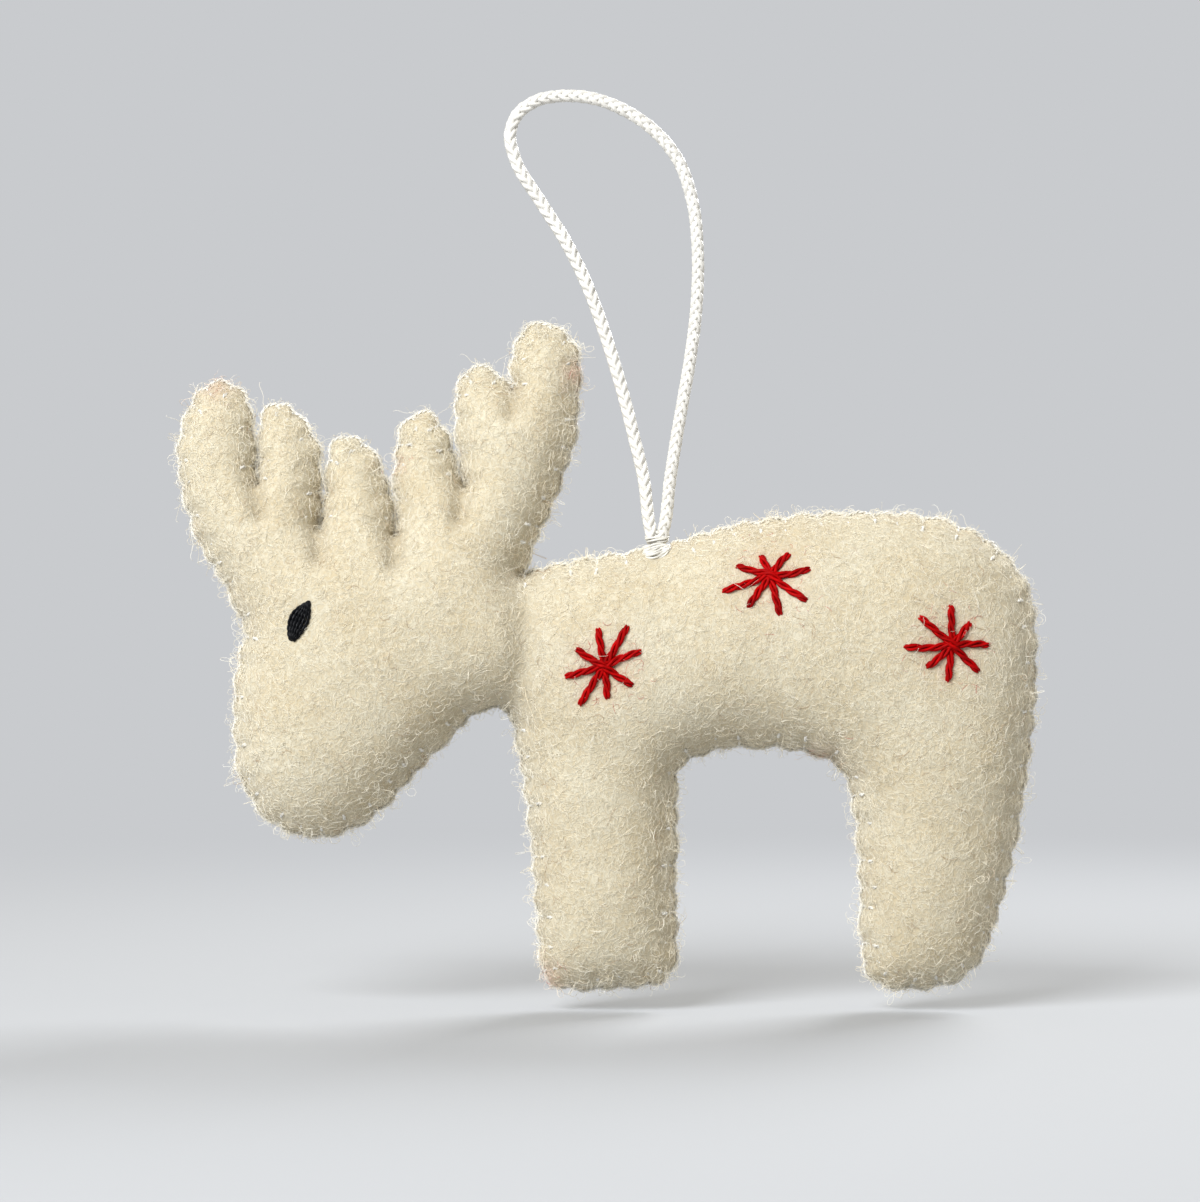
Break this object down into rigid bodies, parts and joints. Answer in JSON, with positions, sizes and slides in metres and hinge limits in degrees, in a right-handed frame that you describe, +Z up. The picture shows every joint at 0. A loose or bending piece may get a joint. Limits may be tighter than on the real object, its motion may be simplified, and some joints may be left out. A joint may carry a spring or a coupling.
{
  "type": "felt christmas ornament",
  "caption": "Stuffed cream felt elk with branched antlers, stitched edges, red star embroidery and dark stitched eyes, hung by a loop of white braided cord.",
  "frame": {"origin": "the point under the top of the cord loop where a hook, nail or twig carries it", "axes": "+Z up, +X along the figure from its nose to its rump, -Y out of the face that was pictured"},
  "size_m": [0.1119, 0.023, 0.1177],
  "materials": {
    "cream_felt": "fuzzy wool felt",
    "white_thread": "slightly glossy sewing thread",
    "fibre_filling": "loose polyester fibre",
    "red_floss": "satin stranded cotton",
    "black_floss": "satin stranded cotton",
    "white_cord": "braided cord"
  },
  "bodies": {
    "hanger": {"hanging_loop": "white_cord"},
    "lashing": {"cord_lashing": "white_thread"},
    "knot": {"cord_knot": "white_cord"},
    "elk": {"front_felt_panel": "cream_felt", "back_felt_panel": "cream_felt", "edge_stitching": "white_thread", "trunk_stuffing": "fibre_filling", "head_stuffing": "fibre_filling", "hind_leg_stuffing": "fibre_filling", "front_leg_stuffing": "fibre_filling", "neck_stuffing": "fibre_filling", "right_palm_stuffing": "fibre_filling", "left_palm_stuffing": "fibre_filling", "left_outer_tine_stuffing": "fibre_filling", "left_middle_tine_stuffing": "fibre_filling", "left_brow_tine_stuffing": "fibre_filling", "right_brow_tine_stuffing": "fibre_filling", "right_middle_tine_stuffing": "fibre_filling", "right_outer_tine_stuffing": "fibre_filling", "front_chest_star": "red_floss", "front_back_star": "red_floss", "front_rump_star": "red_floss", "front_eye": "black_floss", "back_chest_star": "red_floss", "back_back_star": "red_floss", "back_rump_star": "red_floss", "back_eye": "black_floss", "left_cord_tail": "white_cord", "right_cord_tail": "white_cord"}
  },
  "joints": [
    {"name": "ornament_twist", "type": "hinge", "parent": "hanger", "child": "lashing", "pos_m": [0.0117, 0, -0.05625], "axis": [0, 0, 1], "range_deg": [-180, 180]},
    {"name": "ornament_swing", "type": "hinge", "parent": "lashing", "child": "knot", "pos_m": [0.0117, 0, -0.05625], "axis": [1, 0, 0], "range_deg": [-75, 75]},
    {"name": "ornament_tilt", "type": "hinge", "parent": "knot", "child": "elk", "pos_m": [0.0117, 0, -0.05625], "axis": [0, 1, 0], "range_deg": [-35, 5]}
  ]
}
